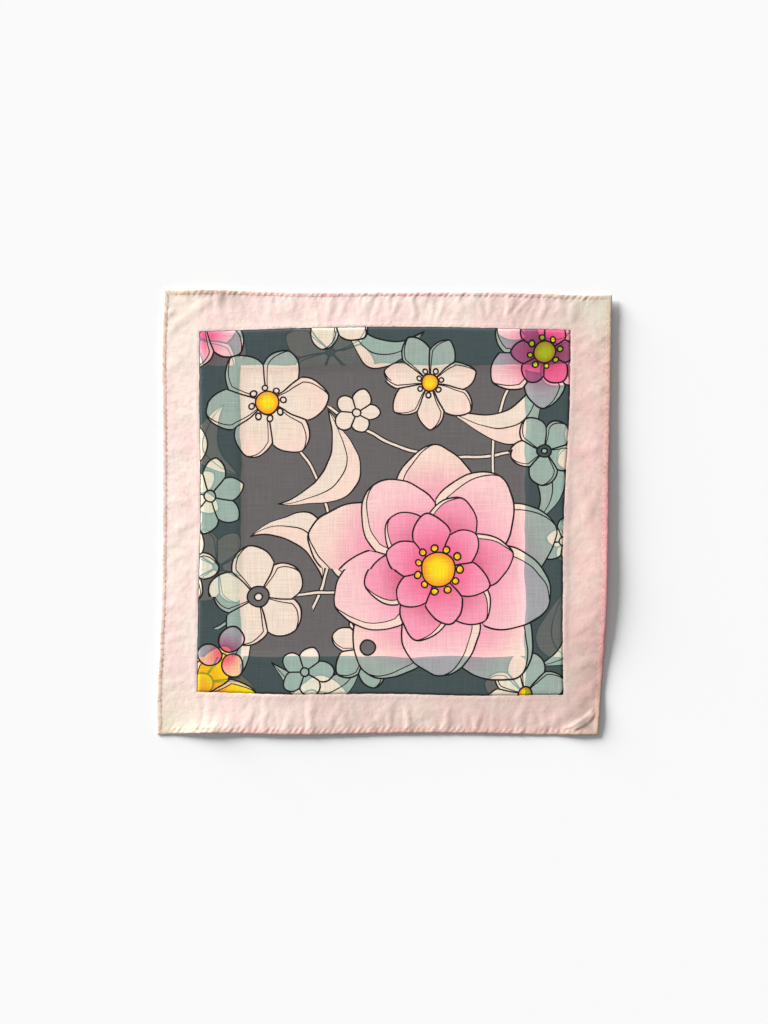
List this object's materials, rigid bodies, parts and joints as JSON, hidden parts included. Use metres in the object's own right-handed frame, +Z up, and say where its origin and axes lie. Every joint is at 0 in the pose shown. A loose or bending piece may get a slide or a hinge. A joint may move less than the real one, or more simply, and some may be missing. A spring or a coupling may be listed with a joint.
{
  "type": "pocket square",
  "caption": "Cotton pocket square lying flat: a sheer printed floral centre panel framed by a wide pale pink band with a narrow topstitched hem.",
  "frame": {"origin": "on the surface that the cloth lies on, below the middle of its bounding box", "axes": "+Z up out of the face of the cloth, +Y towards its top edge, +X to its right edge"},
  "size_m": [0.3358, 0.3288, 0.0054],
  "materials": {
    "pink_cotton": "matt plain weave",
    "printed_voile": "matt sheer plain weave, printed"
  },
  "bodies": {
    "root": {"border_band": "pink_cotton", "print_panel": "printed_voile"}
  },
  "joints": []
}
